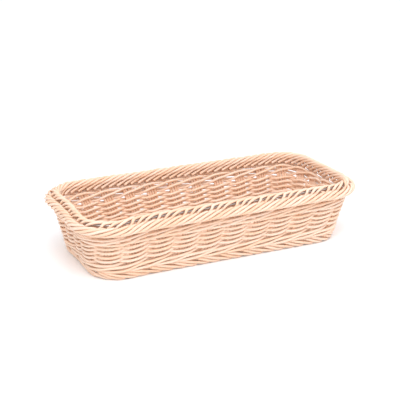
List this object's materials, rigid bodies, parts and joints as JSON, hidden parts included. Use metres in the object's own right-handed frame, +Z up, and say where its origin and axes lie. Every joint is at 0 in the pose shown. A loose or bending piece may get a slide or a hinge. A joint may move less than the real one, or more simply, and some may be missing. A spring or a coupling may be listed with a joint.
{
  "type": "bread basket",
  "caption": "Rectangular woven bread basket of pale synthetic rattan, with flared walls, rounded corners and a thick rolled rim over a steel hoop.",
  "frame": {"origin": "under the middle of the basket, on the table that its foot stands on", "axes": "+X along the length, +Y from the front wall to the back wall, +Z up through the open top"},
  "size_m": [0.4, 0.184, 0.082],
  "materials": {
    "weaver_strand": "satin synthetic rattan, pale cream, fine lengthwise grain",
    "stake_strand": "satin synthetic rattan, pale cream, fine lengthwise grain",
    "steel_wire": "bright drawn wire"
  },
  "bodies": {
    "root": {"rim_wire": "steel_wire", "rim_roll": "stake_strand", "rim_rope": "stake_strand", "upper_wale_1": "weaver_strand", "upper_wale_2": "weaver_strand", "upper_wale_3": "weaver_strand", "upper_wale_4": "weaver_strand", "upper_wale_5": "weaver_strand", "twine_1_outer": "weaver_strand", "twine_1_inner": "weaver_strand", "twine_2_outer": "weaver_strand", "twine_2_inner": "weaver_strand", "twine_3_outer": "weaver_strand", "twine_3_inner": "weaver_strand", "twine_4_outer": "weaver_strand", "twine_4_inner": "weaver_strand", "lower_wale_1": "weaver_strand", "lower_wale_2": "weaver_strand", "lower_wale_3": "weaver_strand", "lower_wale_4": "weaver_strand", "lower_wale_5": "weaver_strand", "foot_1": "stake_strand", "foot_2": "stake_strand", "foot_3": "stake_strand", "stakes_front": "stake_strand", "stakes_back": "stake_strand", "stakes_left": "stake_strand", "stakes_right": "stake_strand", "stakes_corner_fl": "stake_strand", "stakes_corner_fr": "stake_strand", "stakes_corner_bl": "stake_strand", "stakes_corner_br": "stake_strand", "base_cross": "stake_strand", "base_long": "stake_strand"}
  },
  "joints": []
}
